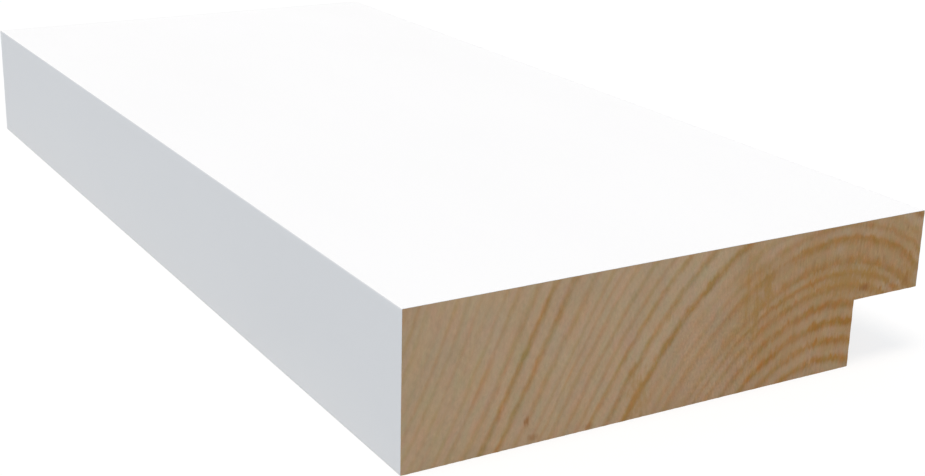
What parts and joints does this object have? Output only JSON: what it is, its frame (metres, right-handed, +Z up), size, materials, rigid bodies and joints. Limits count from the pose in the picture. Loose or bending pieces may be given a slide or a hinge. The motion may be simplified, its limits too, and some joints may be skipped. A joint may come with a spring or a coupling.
{
  "type": "reveal lining board",
  "caption": "Short planed length of white-painted pine lining board with a rebate cut along one long edge, sawn square at both ends.",
  "frame": {"origin": "middle of the board's footprint, on the plane of its bare back", "axes": "+Z up through the thickness to the painted face, +Y along the board, -X towards the painted room-side edge, +X towards the rebated edge"},
  "size_m": [0.07, 0.15, 0.018],
  "materials": {
    "painted_pine": "factory white satin paint on the face, the room-side edge and the lip's outer edge; bare planed pine on the back and in the rebate; bare sawn end grain"
  },
  "bodies": {
    "root": {"lining_board": "painted_pine"}
  },
  "joints": []
}
